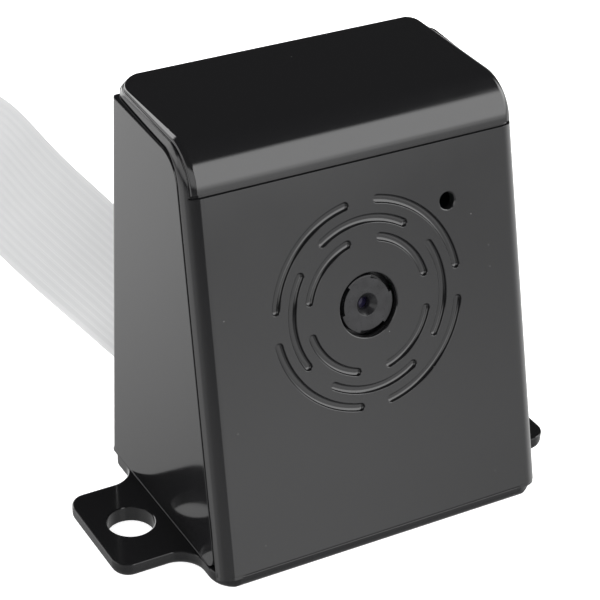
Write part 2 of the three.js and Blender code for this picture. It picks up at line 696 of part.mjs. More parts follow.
const wedgeCameraCase = new THREE.Group();
wedgeCameraCase.add(
  piece("front_shell", frontShell(), blackGloss()),
  piece("rear_cover", rearCover(), blackGloss()),
  boardAssembly(),
  piece("ribbon_cable", ribbonCable(), material(0xe4e5e6, 0.4)),
  farStiffener(),
);

export default wedgeCameraCase;
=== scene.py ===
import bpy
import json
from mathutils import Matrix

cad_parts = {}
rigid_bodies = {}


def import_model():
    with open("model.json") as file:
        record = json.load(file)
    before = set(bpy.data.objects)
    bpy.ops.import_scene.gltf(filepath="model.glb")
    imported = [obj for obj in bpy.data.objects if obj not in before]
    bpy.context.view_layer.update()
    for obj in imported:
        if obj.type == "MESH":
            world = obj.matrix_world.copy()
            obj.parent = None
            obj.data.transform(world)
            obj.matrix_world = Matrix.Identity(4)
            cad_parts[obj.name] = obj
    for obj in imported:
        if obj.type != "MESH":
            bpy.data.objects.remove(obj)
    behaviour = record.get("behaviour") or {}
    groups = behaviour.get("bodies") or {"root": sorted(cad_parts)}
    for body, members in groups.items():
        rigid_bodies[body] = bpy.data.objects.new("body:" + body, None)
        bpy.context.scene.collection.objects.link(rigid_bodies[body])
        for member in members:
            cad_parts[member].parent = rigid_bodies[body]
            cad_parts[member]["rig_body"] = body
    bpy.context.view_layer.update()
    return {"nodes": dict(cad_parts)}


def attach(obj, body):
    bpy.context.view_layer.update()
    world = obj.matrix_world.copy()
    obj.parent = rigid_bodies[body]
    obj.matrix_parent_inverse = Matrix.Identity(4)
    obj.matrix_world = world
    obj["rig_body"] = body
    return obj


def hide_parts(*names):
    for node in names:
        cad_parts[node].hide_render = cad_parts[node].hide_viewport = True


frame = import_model()

import json
import math

import bmesh
import bpy
from mathutils import Matrix, Vector

# Shapes are built in millimetres and brought to metres once, by finish_piece.
MM = 0.001
RAD = math.pi / 180

# ---- Driving dimensions, in millimetres ----
# They are the CAD model's, except that the seam, the rim, the corners, the foot, the gaps and the edges
# of holes and grooves are finer here.

HALF_WIDTH = 22.3
HEIGHT = 49.9
FRONT_Y = -15.2
SLOPE = 15.4 * RAD
DRAFT = 1.6 * RAD
BASE_THICK = 2.15
WALL = 1.0
TOP_THICK = 1.3
TOP_THICK_BACK = 0.55
TOP_BACK = 17.7
BASE_BACK = 13.9
SEAM_Z = 45.4
SEAM_STEP = 0.13  # the cap stands proud of the front by this much
SEAM_EDGE = 0.14
SEAM_LIP = 0.12
SEAM_Y_END = -1.2  # the seam runs only in front of this
SEAM_GROOVE = (0.26, 0.34)  # width and depth across the front
RIM_GROOVE = (0.08, 0.12)
CROWN_R = 5.5
RIM_R = 2.2
RIM_DEPTH = 1.75  # how far the front's rounded sides reach back
RIM_LIP = 0.7  # thickness of what reaches back behind the wall
TOP_CORNER_LEFT_R = 4.0
TOP_CORNER_RIGHT_R = 1.8
TOP_EDGE_R = 0.3
EDGE = 0.12  # rounding of the shell's thin edges
PLATE_PROUD = (0.03, 0.02)  # the base plate stands out past the sides and the front
BASE_FRONT_R = 3.5
BASE_BACK_R = 1.2
BASE_UNDER_R = 1.6
FOOT_R = 1.1
GAP = 0.3
TOP_GAP = 0.1
FOOT_GAP = 0.06
FRONT_GAP = 0.12
FOOT_BEAD = 0.07  # the rear cover's foot stands proud by this much
EAR_X = 26.7
EAR_TIP_LEFT = 31.8
EAR_TIP_RIGHT = 28.9
EAR_HALF = 7.5
EAR_R = 3.0
EAR_CORNER_R = 2.2
EAR_HOLE_R = 2.87
LENS_V = 28.1
LENS_HOLE_R = 3.75
LENS_HOLE_EDGE = 0.16
LED_X = 11.2
LED_V = 37.7
LED_HOLE_R = 0.95
LED_HOLE_EDGE = 0.22
BOARD_HOLE_X = 10.5
BOARD_HOLE_PITCH = 12.5  # from the lens' row of holes to the next
COVER_WALL = 1.4
COVER_BACK = 15.1
COVER_LEAN = 0.65 * RAD
COVER_EDGE_R = 1.5
CABLE_GATE_HALF = 19.0
CABLE_GATE_TOP = 14.1
CABLE_GATE_R = 2.0
GROOVE_WIDTH = 1.05
GROOVE_DEEP = 0.42
GROOVE_EDGE = 0.1
LIP_TURN = 62 * RAD
GROOVE_RINGS = [(12.0, 70, 45), (9.9, 64, 0), (7.8, 58, 45)]  # radius, span and first middle in degrees
GROOVES_A_RING = 4
PARTING_SHARE = 0.62  # of the rim's rounding, from the outer face
RIBBON_WIDTH = 16.0
RIBBON_THICK = 0.3


def front_y(z):
    return FRONT_Y + (z - BASE_THICK) * math.tan(SLOPE)


def half_width(z):
    return HALF_WIDTH - (z - BASE_THICK) * math.tan(DRAFT)


def cover_back_y(z):
    return COVER_BACK + z * math.tan(COVER_LEAN)


def top_thickness(y):
    """The top plate thins towards the back."""
    front = front_y(HEIGHT - TOP_THICK) + WALL / math.cos(SLOPE)
    share = max(0.0, (y - front) / (TOP_BACK - front))
    return TOP_THICK + (TOP_THICK_BACK - TOP_THICK) * share


# Slope frame to part frame: x across, v up the front, n out of it.
SLOPE_TO_PART = Matrix.Translation((0, FRONT_Y, BASE_THICK)) @ Matrix.Rotation(math.pi / 2 - SLOPE, 4, "X")


def on_slope(x, v, n=0.0):
    return SLOPE_TO_PART @ Vector((x, v, n))


# ---- Mesh helpers ----


def rounded(corners, steps=12):
    """Outline points with each corner [x, y, radius] rounded."""
    points = []
    count = len(corners)
    for i, (x, y, radius) in enumerate(corners):
        corner = Vector((x, y))
        if radius == 0:
            points.append(corner)
            continue
        before = (Vector(corners[i - 1][:2]) - corner).normalized()
        after = (Vector(corners[(i + 1) % count][:2]) - corner).normalized()
        half = math.acos(max(-1, min(1, before.dot(after)))) / 2
        centre = corner + (before + after).normalized() * (radius / math.sin(half))
        start = corner + before * (radius / math.tan(half)) - centre
        end = corner + after * (radius / math.tan(half)) - centre
        turn = math.atan2(start.cross(end), start.dot(end))
        for k in range(steps + 1):
            points.append(centre + Matrix.Rotation(turn * k / steps, 2) @ start)
    return points


def edit_mesh(obj, change):
    """Puts obj's mesh through a change, which is a function of a bmesh."""
    bm = bmesh.new()
    bm.from_mesh(obj.data)
    change(bm)
    bm.to_mesh(obj.data)
    bm.free()
    return obj


def face_outwards(bm):
    bmesh.ops.recalc_face_normals(bm, faces=bm.faces)


def plain_object(name, vertices, faces):
    mesh = bpy.data.meshes.new(name)
    mesh.from_pydata([tuple(v) for v in vertices], [], faces)
    obj = bpy.data.objects.new(name, mesh)
    bpy.context.scene.collection.objects.link(obj)
    return obj


def new_object(name, vertices, faces):
    return edit_mesh(plain_object(name, vertices, faces), face_outwards)


def skin(name, loops):
    """A closed body through loops of points, each with the same count."""
    count = len(loops[0])
    vertices = [p for loop in loops for p in loop]
    faces = [tuple(range(count)), tuple(range(len(vertices) - count, len(vertices)))]
    for a in range(0, len(vertices) - count, count):
        b = a + count
        faces += [(a + i, a + (i + 1) % count, b + (i + 1) % count, b + i) for i in range(count)]
    return new_object(name, vertices, faces)


def loft(name, outlines, place=Matrix.Identity(4)):
    """Joins outlines with equal point counts, each given with its height, into one closed body."""
    return skin(name, [[place @ Vector((p[0], p[1], z)) for p in outline] for outline, z in outlines])


def prism(name, outline, low, high, place=Matrix.Identity(4)):
    """An outline in X and Y pushed from low to high along Z, then placed."""
    return loft(name, [(outline, low), (outline, high)], place)


def lathe(name, profile, segments=96, place=Matrix.Identity(4), lift=None):
    """A closed profile of (radius, height) turned about Z. lift(radius, height, angle) raises a point."""
    vertices, faces, rings = [], [], []
    for radius, height in profile:
        if radius == 0:
            rings.append([len(vertices)] * segments)
            vertices.append(place @ Vector((0, 0, height)))
            continue
        ring = []
        for k in range(segments):
            angle = 2 * math.pi * k / segments
            h = height + (lift(radius, height, angle) if lift else 0)
            ring.append(len(vertices))
            vertices.append(place @ Vector((radius * math.cos(angle), radius * math.sin(angle), h)))
        rings.append(ring)
    pairs = list(zip(rings, rings[1:]))
    if profile[0][0] != 0:
        pairs.append((rings[-1], rings[0]))
    for a, b in pairs:
        for k in range(segments):
            m = (k + 1) % segments
            corners = [a[k], a[m], b[m], b[k]]
            face = [c for i, c in enumerate(corners) if c != corners[i - 1]]
            if len(face) > 2:
                faces.append(tuple(face))
    return new_object(name, vertices, faces)


def arc_slot(radius, width, start, end, steps=40, cap=14):
    """Outline of a slot with round ends that follows a circle about the origin."""
    half = width / 2
    points = []
    for k in range(steps + 1):
        angle = start + (end - start) * k / steps
        points.append(Vector(((radius + half) * math.cos(angle), (radius + half) * math.sin(angle))))
    tip = Vector((radius * math.cos(end), radius * math.sin(end)))
    for k in range(1, cap):
        turn = end + math.pi * k / cap
        points.append(tip + half * Vector((math.cos(turn), math.sin(turn))))
    for k in range(steps + 1):
        angle = end + (start - end) * k / steps
        points.append((radius - half) * Vector((math.cos(angle), math.sin(angle))))
    foot = Vector((radius * math.cos(start), radius * math.sin(start)))
    for k in range(1, cap):
        turn = start + math.pi + math.pi * k / cap
        points.append(foot + half * Vector((math.cos(turn), math.sin(turn))))
    return points


def apply_modifiers(obj):
    bpy.context.view_layer.update()
    mesh = bpy.data.meshes.new_from_object(obj.evaluated_get(bpy.context.evaluated_depsgraph_get()))
    obj.modifiers.clear()
    obj.data = mesh
    return obj


def boolean(obj, others, operation="DIFFERENCE"):
    for other in others:
        modifier = obj.modifiers.new("cut", "BOOLEAN")
        modifier.operation = operation
        modifier.solver = "EXACT"
        modifier.object = other
        apply_modifiers(obj)
        bpy.data.objects.remove(other)
    return obj


def bevel(obj, width, segments=3, angle=35):
    """Rounds every edge sharper than the angle."""
    def clean(bm):
        bmesh.ops.remove_doubles(bm, verts=bm.verts, dist=1e-4)
        bmesh.ops.dissolve_limit(bm, angle_limit=0.2 * RAD, verts=bm.verts, edges=bm.edges)

    edit_mesh(obj, clean)
    modifier = obj.modifiers.new("edges", "BEVEL")
    modifier.width = width
    modifier.segments = segments
    modifier.limit_method = "ANGLE"
    modifier.angle_limit = angle * RAD
    modifier.use_clamp_overlap = False
    modifier.miter_outer = "MITER_ARC"
    return apply_modifiers(obj)


def smooth(obj, angle=32):
    """Smooth shading across gentle edges, with the large faces kept flat."""
    def mark_edges(bm):
        for edge in bm.edges:
            edge.smooth = len(edge.link_faces) == 2 and edge.calc_face_angle(0) < angle * RAD

    for polygon in obj.data.polygons:
        polygon.use_smooth = True
    edit_mesh(obj, mark_edges)
    modifier = obj.modifiers.new("normals", "WEIGHTED_NORMAL")
    modifier.keep_sharp = True
    modifier.mode = "FACE_AREA"
    return obj


def finish_piece(obj, body, material, replaces=(), angle=32):
    """Brings a piece to metres, gives it its look and lets it ride on its body."""
    obj.data.transform(Matrix.Scale(MM, 4))
    smooth(obj, angle)
    obj.data.materials.clear()
    obj.data.materials.append(material)
    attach(obj, body)
    if replaces:
        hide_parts(*replaces)
    return obj


# ---- Materials ----


class Nodes:
    """A small wrapper to write the node trees of materials and of the world in few lines."""

    def __init__(self, owner):
        owner.use_nodes = True
        self.tree = owner.node_tree
        self.tree.nodes.clear()
        self.coordinates = self.add("ShaderNodeTexCoord").outputs
        self.space = self.coordinates["Object"]

    def add(self, kind, inputs=None, **settings):
        node = self.tree.nodes.new(kind)
        for key, value in settings.items():
            setattr(node, key, value)
        for key, value in (inputs or {}).items():
            if isinstance(value, bpy.types.NodeSocket):
                self.tree.links.new(value, node.inputs[key])
            else:
                node.inputs[key].default_value = value
        return node

    def noise(self, scale, detail=2.0, rough=0.5, space=None):
        """Noise with a feature size given in millimetres."""
        node = self.add("ShaderNodeTexNoise", {"Vector": space or self.space, "Scale": 1 / (scale * MM),
                                               "Detail": detail, "Roughness": rough})
        return node.outputs["Fac"]

    def ramp(self, value, low, high, start, end, kind="LINEAR"):
        inputs = {"Value": value, "From Min": low, "From Max": high, "To Min": start, "To Max": end}
        return self.add("ShaderNodeMapRange", inputs, interpolation_type=kind).outputs["Result"]

    def math(self, operation, a, b=0.0):
        return self.add("ShaderNodeMath", {0: a, 1: b}, operation=operation).outputs[0]

    def mix(self, factor, a, b):
        node = self.add("ShaderNodeMix", data_type="RGBA")
        for socket, value in (("Factor", factor), ("A", a), ("B", b)):
            kind = "VALUE" if socket == "Factor" else "RGBA"
            target = [i for i in node.inputs if i.name == socket and i.type == kind][0]
            if isinstance(value, bpy.types.NodeSocket):
                self.tree.links.new(value, target)
            else:
                target.default_value = value
        return [o for o in node.outputs if o.type == "RGBA"][0]

    def bump(self, height, distance, strength=1.0, normal=None):
        inputs = {"Height": height, "Distance": distance * MM, "Strength": strength}
        if normal:
            inputs["Normal"] = normal
        return self.add("ShaderNodeBump", inputs).outputs["Normal"]

    def surface(self, inputs):
        shader = self.add("ShaderNodeBsdfPrincipled", inputs)
        self.add("ShaderNodeOutputMaterial", {"Surface": shader.outputs["BSDF"]})


def rgb(r, g, b):
    return (r, g, b, 1)


def gloss_black():
    """Glossy moulded plastic: faint waves, fine scuffs, a little dust."""
    material = bpy.data.materials.new("gloss_black")
    n = Nodes(material)
    waves = n.noise(14, 1, 0.4)
    stretch = n.add("ShaderNodeMapping", {"Vector": n.space, "Rotation": (0.3, 0.5, 0.7),
                                          "Scale": (1, 0.05, 1)})
    scuff = n.noise(0.22, 3, 0.6, stretch.outputs["Vector"])
    patch = n.noise(5, 2, 0.6)
    scuffs = n.math("MULTIPLY", n.ramp(scuff, 0.66, 0.74, 0, 1), n.ramp(patch, 0.5, 0.7, 0, 1))
    dust_cells = n.add("ShaderNodeTexVoronoi", {"Vector": n.space, "Scale": 1 / (2.6 * MM)})
    speck = n.ramp(dust_cells.outputs["Distance"], 0.012, 0.03, 1, 0)
    rare = n.ramp(n.noise(3, 1), 0.5, 0.56, 0, 1)
    dust = n.math("MULTIPLY", speck, rare)
    colour = n.mix(dust, rgb(0.0075, 0.0075, 0.008), rgb(0.16, 0.16, 0.155))
    rough = n.math("ADD", n.ramp(n.noise(9, 3), 0.3, 0.7, 0.085, 0.13), n.math("MULTIPLY", scuffs, 0.12))
    rough = n.math("ADD", rough, n.math("MULTIPLY", dust, 0.4))
    normal = n.bump(waves, 0.05, 0.35)
    normal = n.bump(n.noise(0.5, 3), 0.0012, 0.5, normal)
    normal = n.bump(scuffs, 0.002, 0.4, normal)
    n.surface({"Base Color": colour, "Roughness": rough, "IOR": 1.52, "Normal": normal})
    return material


def plastic(name, colour, rough, grain=0.25, bump=0.004, spread=0.25, ior=1.5, coat=0.0):
    """Moulded plastic with grain, cloudy colour and uneven roughness."""
    material = bpy.data.materials.new(name)
    n = Nodes(material)
    cloud = n.noise(grain * 12, 3)
    lighter = rgb(*[min(1, c * (1 + spread) + 0.004) for c in colour])
    darker = rgb(*[c * (1 - spread) for c in colour])
    base = n.mix(n.ramp(cloud, 0.3, 0.7, 0, 1), darker, lighter)
    roughness = n.ramp(n.noise(grain * 5, 2), 0.3, 0.7, rough * 0.85, min(1, rough * 1.15))
    normal = n.bump(n.noise(grain, 3, 0.6), bump, 0.6)
    n.surface({"Base Color": base, "Roughness": roughness, "IOR": ior, "Normal": normal, "Coat Weight": coat})
    return material


def metal(name, colour, rough):
    """Drawn metal with fine parallel marks and slight tarnish."""
    material = bpy.data.materials.new(name)
    n = Nodes(material)
    stretch = n.add("ShaderNodeMapping", {"Vector": n.space, "Scale": (1, 0.08, 0.08)})
    lines = n.noise(0.05, 3, 0.6, stretch.outputs["Vector"])
    tarnish = n.ramp(n.noise(0.9, 3), 0.35, 0.7, 0, 0.5)
    base = n.mix(tarnish, rgb(*colour), rgb(*[c * 0.6 for c in colour]))
    roughness = n.ramp(lines, 0.3, 0.7, rough * 0.7, rough * 1.4)
    normal = n.bump(lines, 0.001, 0.5)
    n.surface({"Base Color": base, "Metallic": 1.0, "Roughness": roughness, "Normal": normal})
    return material


def glass(name, tint, coat_tint):
    """Coated glass: clear body, coloured reflection that shifts across the surface; part of it is a painted
    reflection, the base colour taking the coating's tint where the surface is seen edge-on.
    """
    material = bpy.data.materials.new(name)
    n = Nodes(material)
    # Painted reflection: the base colour goes from the dark tint to the coating's tint as the surface turns
    # edge-on.
    facing = n.add("ShaderNodeLayerWeight", {"Blend": 0.35}).outputs["Facing"]
    base = n.mix(n.ramp(facing, 0.1, 0.7, 0, 1), rgb(*tint), rgb(*coat_tint))
    rough = n.ramp(n.noise(0.8, 2), 0.3, 0.7, 0.02, 0.05)
    n.surface({"Base Color": base, "Roughness": rough, "IOR": 1.6, "Specular Tint": rgb(*coat_tint),
               "Coat Weight": 0.6, "Coat Roughness": 0.03, "Coat Tint": rgb(*coat_tint),
               "Normal": n.bump(n.noise(0.6, 1), 0.001, 0.3)})
    return material


def board_mask():
    """Green solder mask over copper: tracks and filled areas show as faint steps."""
    material = bpy.data.materials.new("board_mask")
    n = Nodes(material)
    tilt = n.add("ShaderNodeMapping", {"Vector": n.space, "Rotation": (math.pi / 2 - SLOPE, 0, 0)})
    cells = n.add("ShaderNodeTexVoronoi", {"Vector": n.space, "Scale": 1 / (1.9 * MM), "Randomness": 0.85},
                  distance="MANHATTAN")
    copper = n.ramp(cells.outputs["Distance"], 0.42, 0.46, 0, 1)
    wave = n.add("ShaderNodeTexWave", {"Vector": tilt.outputs["Vector"], "Scale": 1 / (6 * MM),
                                       "Distortion": 1.5, "Detail": 1.0, "Detail Scale": 1 / (4 * MM)})
    track = n.ramp(wave.outputs["Fac"], 0.82, 0.86, 0, 1)
    raised = n.math("MAXIMUM", copper, track)
    base = n.mix(raised, rgb(0.012, 0.075, 0.028), rgb(0.03, 0.15, 0.055))
    normal = n.bump(raised, 0.03, 0.6)
    normal = n.bump(n.noise(0.3, 2), 0.003, 0.5, normal)
    rough = n.ramp(n.noise(1.2, 2), 0.3, 0.7, 0.28, 0.42)
    n.surface({"Base Color": base, "Roughness": rough, "Normal": normal, "Coat Weight": 0.3})
    return material


def ribbon_film():
    """White film over flat conductors, which show as faint greyer stripes along the cable. Its tone is darker
    away from the case, as painted shade that evens out the stronger light there.
    """
    material = bpy.data.materials.new("ribbon_film")
    n = Nodes(material)
    across = n.add("ShaderNodeAttribute", attribute_name="across").outputs["Fac"]
    edge = n.math("ABSOLUTE", n.math("SUBTRACT", across, 0.5))
    conductor = n.ramp(edge, 0.27, 0.35, 1, 0)
    cloud = n.ramp(n.noise(6, 3), 0.3, 0.7, 0, 0.25)
    position = n.add("ShaderNodeNewGeometry").outputs["Position"]
    behind = n.add("ShaderNodeSeparateXYZ", {"Vector": position}).outputs["Y"]
    # Painted shade: the film's tone is darker away from the case, where the light is stronger.
    far = n.ramp(behind, 38 * MM, 68 * MM, 0, 1)  # evens out the light, which is stronger away from the case
    near_tone = n.mix(cloud, rgb(0.615, 0.617, 0.62), rgb(0.58, 0.585, 0.59))
    far_tone = n.mix(cloud, rgb(0.478, 0.48, 0.483), rgb(0.45, 0.453, 0.457))
    film = n.mix(far, near_tone, far_tone)
    base = n.mix(n.math("MULTIPLY", conductor, 0.25), film, rgb(0.38, 0.385, 0.395))
    rough = n.ramp(n.noise(2, 2), 0.3, 0.7, 0.5, 0.62)
    normal = n.bump(n.noise(1.5, 2), 0.01, 0.4)
    n.surface({"Base Color": base, "Roughness": rough, "IOR": 1.3, "Normal": normal})
    return material


def pale_floor():
    """Even white sheet that stays pale under the light."""
    material = bpy.data.materials.new("pale_floor")
    n = Nodes(material)
    tone = n.mix(n.ramp(n.noise(30, 2), 0.3, 0.7, 0, 1), rgb(0.82, 0.82, 0.82), rgb(0.84, 0.84, 0.84))
    n.surface({"Base Color": tone, "Roughness": 0.8, "Emission Color": rgb(1, 1, 1),
               "Emission Strength": 0.78})
    return material


BLACK = gloss_black()
SATIN = plastic("satin_black", (0.009, 0.009, 0.010), rough=0.3, grain=0.12, bump=0.003, spread=0.3, ior=1.37)
CREAM = plastic("cream_plastic", (0.62, 0.56, 0.43), rough=0.5, grain=0.2, spread=0.08)
CHIP = plastic("chip_black", (0.014, 0.014, 0.016), rough=0.55, grain=0.08, bump=0.006, spread=0.35)
FOAM = plastic("foam_black", (0.016, 0.016, 0.016), rough=0.95, grain=0.3, bump=0.12, spread=0.5)
AMBER = plastic("flex_amber", (0.32, 0.13, 0.012), rough=0.3, grain=0.5, coat=0.4)
BLUE = plastic("film_blue", (0.018, 0.075, 0.28), rough=0.32, grain=0.6, spread=0.12, coat=0.3)
CERAMIC = plastic("ceramic_tan", (0.29, 0.17, 0.085), rough=0.45, grain=0.08, bump=0.003, spread=0.2)
SILICON = plastic("silicon", (0.05, 0.055, 0.09), rough=0.12, grain=0.3, bump=0.001, spread=0.4, ior=2.2)
MASK = board_mask()
FILM = ribbon_film()
GLASS = glass("lens_glass", (0.006, 0.005, 0.012), (0.16, 0.13, 0.34))
FILTER = glass("filter_glass", (0.05, 0.09, 0.10), (0.2, 0.6, 0.65))
STEEL = metal("can_steel", (0.55, 0.54, 0.51), 0.3)
GOLD = metal("contact_gold", (0.78, 0.55, 0.22), 0.25)
SOLDER = metal("solder", (0.62, 0.62, 0.63), 0.3)

# ---- Front shell: one skin swept along the section, then cut ----

# The fine line where the front wall meets the base plate: height above the plate, and depth.
FOOT_LINE = [(0.0, 0.11), (0.09, 0.11), (0.11, 0.04), (0.15, 0.0)]


def foot_line_depth(z):
    for height, deep in FOOT_LINE:
        if abs(z - BASE_THICK - height) < 1e-6:
            return deep
    return FOOT_LINE[0][1] if z < BASE_THICK else 0.0


def shell_section():
    """Stations along the outer section, up the front and back along the top: (y, z, outward y, outward z)."""
    stations = []
    normal = (-math.cos(SLOPE), math.sin(SLOPE))
    foot = BASE_THICK - 0.3
    near_seam = SEAM_Z - 0.6
    crown_centre_z = HEIGHT - CROWN_R
    crown_centre_y = front_y(crown_centre_z) + CROWN_R / math.cos(SLOPE)
    crown_start_z = crown_centre_z + CROWN_R * math.sin(SLOPE)
    heights = [foot] + [BASE_THICK + z for z, _ in FOOT_LINE]
    above = heights[-1]
    heights += [above + (near_seam - above) * k / 60 for k in range(1, 61)]
    heights += [near_seam + 0.02 * k for k in range(1, 45)]
    heights = [z for z in heights if z < crown_start_z - 0.02]
    for z in heights:
        stations.append((front_y(z), z, *normal))
    for k in range(49):
        psi = SLOPE + (math.pi / 2 - SLOPE) * k / 48
        out = (-math.cos(psi), math.sin(psi))
        stations.append((crown_centre_y + CROWN_R * out[0], crown_centre_z + CROWN_R * out[1], *out))
    start = crown_centre_y + 0.25
    back = TOP_BACK - TOP_CORNER_LEFT_R
    for k in range(40):
        stations.append((start + (back - start) * k / 40, HEIGHT, 0.0, 1.0))
    for k in range(41):
        angle = math.pi / 2 * k / 40
        stations.append((back + TOP_CORNER_LEFT_R * math.sin(angle), HEIGHT, 0.0, 1.0))
    return stations


def step_height(distance, groove):
    """Height of the skin at a distance inside (+) or outside (-) the cap's edge, with a groove along it."""
    width, deep = groove
    if distance > SEAM_EDGE:
        return SEAM_STEP
    if distance > 0:
        share = 1 - distance / SEAM_EDGE
        return -deep + (SEAM_STEP + deep) * math.sqrt(max(0.0, 1 - share * share))
    if distance > -width:
        return -deep
    if distance > -width - SEAM_LIP:
        share = (distance + width + SEAM_LIP) / SEAM_LIP
        return -deep * share * share
    return 0.0


def corner_cut(y, radius):
    """How much a back corner of the top plate takes off the side at y."""
    into_corner = max(0.0, y - (TOP_BACK - radius))
    return radius - math.sqrt(max(0.0, radius ** 2 - into_corner ** 2))


def section_loop(station):
    """One closed loop of (x, y, z) round the shell at a station."""
    y, z, out_y, out_z = station
    half = half_width(z)
    on_top = out_z > 0.999
    cut_left = corner_cut(y, TOP_CORNER_LEFT_R) if on_top else 0.0
    cut_right = corner_cut(y, TOP_CORNER_RIGHT_R) if on_top else 0.0
    along_seam = (z - SEAM_Z) / math.cos(SLOPE) if y < SEAM_Y_END else math.inf
    thick = WALL + (top_thickness(y) - WALL) * max(0.0, min(1.0, (z - 40) / 6))
    back_drop = 0.0
    if on_top and y > TOP_BACK - TOP_EDGE_R:
        rise = (y - TOP_BACK + TOP_EDGE_R) / TOP_EDGE_R
        back_drop = TOP_EDGE_R * (1 - math.sqrt(max(0.0, 1 - rise * rise)))
    reach = thick + (RIM_DEPTH - thick) * max(0.0, -out_y) / math.cos(SLOPE)
    edge_angle = math.acos(1 - (reach - EDGE) / RIM_R)
    parting = PARTING_SHARE * math.acos(1 - (thick - EDGE) / RIM_R)
    near = 0.2 / RIM_R  # the parting line's neighbourhood, where the angles are close together
    angles = [(parting - near) * k / 12 for k in range(12)]
    angles += [parting - near + near * k / 9 for k in range(18)]
    angles += [parting + near + (edge_angle - parting - near) * k / 12 for k in range(13)]
    side = []
    for angle in angles:
        along_rim = (parting - angle) * RIM_R
        by_rim = along_rim < along_seam
        height = step_height(along_rim, RIM_GROOVE) if by_rim else step_height(along_seam, SEAM_GROOVE)
        side.append((half - RIM_R * (1 - math.sin(angle)), RIM_R * (1 - math.cos(angle)) - height))
    last_x, last_depth = side[-1]
    for k in range(1, 7):
        turn = math.pi / 2 * k / 6
        x = last_x - EDGE * (1 - math.cos(turn)) * 0.9 + 0.03 * math.sin(turn)
        side.append((x, last_depth + EDGE * math.sin(turn)))
    lip_x = side[-1][0] - RIM_LIP
    lip_depth = side[-1][1]
    inner_x = lip_x - 0.05
    flat = step_height(along_seam, SEAM_GROOVE)
    loop = [(cut_left - x, depth) for x, depth in reversed(side)]
    loop += [(x * (half - RIM_R), -flat) for x in (-0.6, -0.2, 0.2, 0.6)]
    loop += [(x - cut_right, depth) for x, depth in side]
    loop += [(lip_x - cut_right, lip_depth), (inner_x - cut_right, thick)]
    loop += [(inner_x * s, thick) for s in (0.5, 0.0, -0.5)]
    loop += [(cut_left - inner_x, thick), (cut_left - lip_x, lip_depth)]
    points = []
    sink = foot_line_depth(z)
    for x, depth in loop:
        depth = max(depth, back_drop) + sink if depth < reach - 0.2 else depth
        points.append((x, y - out_y * depth, z - out_z * depth))
    return points


def lip(radius):
    """Offsets (outwards, height) of a cutter's flare, which rounds the edge it leaves in the surface."""
    offsets = []
    for k in range(6):
        turn = LIP_TURN * k / 5
        offsets.append((radius * (1 - math.cos(turn)), radius * (math.sin(turn) - 1)))
    reach = offsets[-1][0] + 1.0 * math.sin(LIP_TURN), offsets[-1][1] + 1.0 * math.cos(LIP_TURN)
    return offsets + [reach]


def hole_cutter(x, v, radius, edge, deep=3.0, segments=96):
    """A round cutter that flares at the surface."""
    profile = [(0, -deep), (radius, -deep)]
    profile += [(radius + out, height) for out, height in lip(edge)]
    profile.append((0, profile[-1][1]))
    return lathe("hole_cutter", profile, segments, SLOPE_TO_PART @ Matrix.Translation((x, v, 0)))


def groove_cutter(radius, start, end):
    """A round-bottomed arc slot with a small rounding along its edges."""
    place = SLOPE_TO_PART @ Matrix.Translation((0, LENS_V, 0))
    half = GROOVE_WIDTH / 2 - GROOVE_EDGE / 2
    levels = []
    for k in range(1, 13):
        turn = math.pi / 2 * k / 12
        depth = GROOVE_EDGE + (GROOVE_DEEP - GROOVE_EDGE) * math.cos(turn) ** 0.8
        levels.append((half * math.sin(turn) ** 0.8, -depth))
    levels += [(half + out, height) for out, height in lip(GROOVE_EDGE)[1:]]
    outlines = [(arc_slot(radius, 2 * width, start, end), height) for width, height in levels]
    return loft("groove_cutter", outlines, place)


# Takes (along Y, along Z, along X) to part axes, for outlines drawn in the Y-Z plane.
FROM_SIDE = Matrix(((0, 0, 1, 0), (1, 0, 0, 0), (0, 1, 0, 0), (0, 0, 0, 1)))


def plate_outline(inset):
    """The base plate's outline, moved inwards. Both ears point away from the case."""
    side = HALF_WIDTH + PLATE_PROUD[0] - inset
    front = FRONT_Y - PLATE_PROUD[1] + inset
    ear = EAR_HALF - inset

    def edge(tip):
        return [(side, front, BASE_FRONT_R - inset), (side, -ear, EAR_R + inset),
                (tip - inset, -ear, EAR_CORNER_R - inset), (tip - inset, ear, EAR_CORNER_R - inset),
                (side, ear, EAR_R + inset), (side, BASE_BACK - inset, BASE_BACK_R - inset)]

    left = [(-x, y, r) for x, y, r in reversed(edge(EAR_TIP_LEFT))]
    return rounded(edge(EAR_TIP_RIGHT) + left, 16)


def base_plate():
    """The base plate with its ears, screw hole and slot, rounded along its lower edge."""
    front = FRONT_Y - PLATE_PROUD[1]
    levels = []
    for k in range(9):
        turn = math.pi / 2 * k / 8
        levels.append((plate_outline(FOOT_R * (1 - math.sin(turn))), FOOT_R * (1 - math.cos(turn))))
    plate = loft("base_plate", levels + [(plate_outline(0), BASE_THICK)])
    hole = lathe("ear_hole", [(0, -1), (EAR_HOLE_R, -1), (EAR_HOLE_R, 3), (0, 3)], 96,
                 Matrix.Translation((-EAR_X, 0, 0)))
    mouth = [Vector((EAR_TIP_RIGHT + 1, EAR_HOLE_R))]
    for k in range(49):
        turn = math.pi / 2 + math.pi * k / 48
        mouth.append(Vector((EAR_X + EAR_HOLE_R * math.cos(turn), EAR_HOLE_R * math.sin(turn))))
    mouth.append(Vector((EAR_TIP_RIGHT + 1, -EAR_HOLE_R)))
    slot = prism("ear_slot", mouth, -1, 3)
    under = [Vector((front - 1, -1)), Vector((front + BASE_UNDER_R, -1))]
    for k in range(25):
        turn = math.pi / 2 * k / 24
        y = front + BASE_UNDER_R * (1 - math.sin(turn))
        under.append(Vector((y, BASE_UNDER_R * (1 - math.cos(turn)))))
    under.append(Vector((front - 1, BASE_UNDER_R)))
    heel = prism("heel", under, -60, 60, FROM_SIDE)
    return bevel(boolean(plate, [hole, slot, heel]), 0.14, 2)


